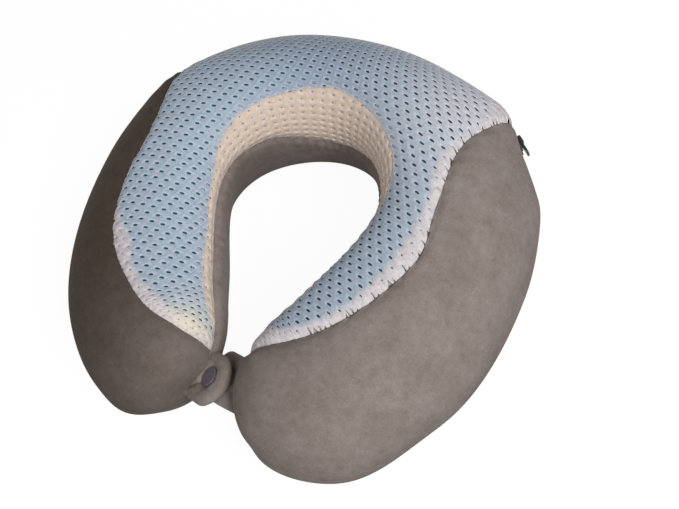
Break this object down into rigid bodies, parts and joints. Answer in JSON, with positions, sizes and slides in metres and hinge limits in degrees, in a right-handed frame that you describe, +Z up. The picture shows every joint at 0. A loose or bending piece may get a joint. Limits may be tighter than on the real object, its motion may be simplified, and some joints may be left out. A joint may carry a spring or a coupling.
{
  "type": "u shaped neck pillow",
  "caption": "U-shaped travel neck pillow: foam core with a gel pad under perforated air mesh, velour sides, a zipped cover and a snap strap in front.",
  "frame": {"origin": "middle of the outline in plan, on the surface that the pillow lies on", "axes": "+Z up through the neck opening, the opening's gap faces -Y, +X to the wearer's side that holds the snap's stud"},
  "size_m": [0.2864, 0.2834, 0.1052],
  "materials": {
    "cream_memory_foam": "open-cell viscoelastic foam, matt",
    "blue_gel": "soft polyurethane gel, satin",
    "white_air_mesh": "perforated polyester spacer mesh",
    "grey_velour": "short-pile velour",
    "black_zipper_tape": "woven tape",
    "black_zipper_coil": "nylon coil",
    "black_metal": "black lacquered zinc",
    "grey_snap_plastic": "satin acetal"
  },
  "bodies": {
    "pillow": {"foam_core": "cream_memory_foam", "gel_pad": "blue_gel", "mesh_panel": "white_air_mesh", "neck_band": "grey_velour", "left_side_panel": "grey_velour", "right_side_panel": "grey_velour", "back_panel": "grey_velour", "base_panel": "grey_velour", "zipper_upper_tape": "black_zipper_tape", "zipper_lower_tape": "black_zipper_tape", "zipper_upper_coil": "black_zipper_coil", "zipper_lower_coil": "black_zipper_coil", "zipper_top_stop": "black_metal", "zipper_bottom_stop": "black_metal", "right_strap": "grey_velour", "left_strap_root": "grey_velour", "snap_stud": "grey_snap_plastic", "snap_back_cap": "grey_snap_plastic"},
    "slider": {"zipper_slider": "black_metal"},
    "pull": {"zipper_pull": "black_metal"},
    "snap_strap": {"left_strap": "grey_velour", "snap_cap": "grey_snap_plastic", "snap_socket": "grey_snap_plastic"}
  },
  "joints": [
    {"name": "zipper_run", "type": "hinge", "parent": "pillow", "child": "slider", "pos_m": [0, -0.00763, 0.062], "axis": [0, 0, 1], "range_deg": [0, 95.4]},
    {"name": "pull_flip", "type": "hinge", "parent": "slider", "child": "pull", "pos_m": [0.11154, 0.09327, 0.06276], "axis": [-0.2219, -0.2008, 0.9542], "range_deg": [0, 170]},
    {"name": "strap_open", "type": "hinge", "parent": "pillow", "child": "snap_strap", "pos_m": [-0.00877, -0.10884, 0.04741], "axis": [-0.1356, -0.9649, -0.225], "range_deg": [0, 30]}
  ]
}
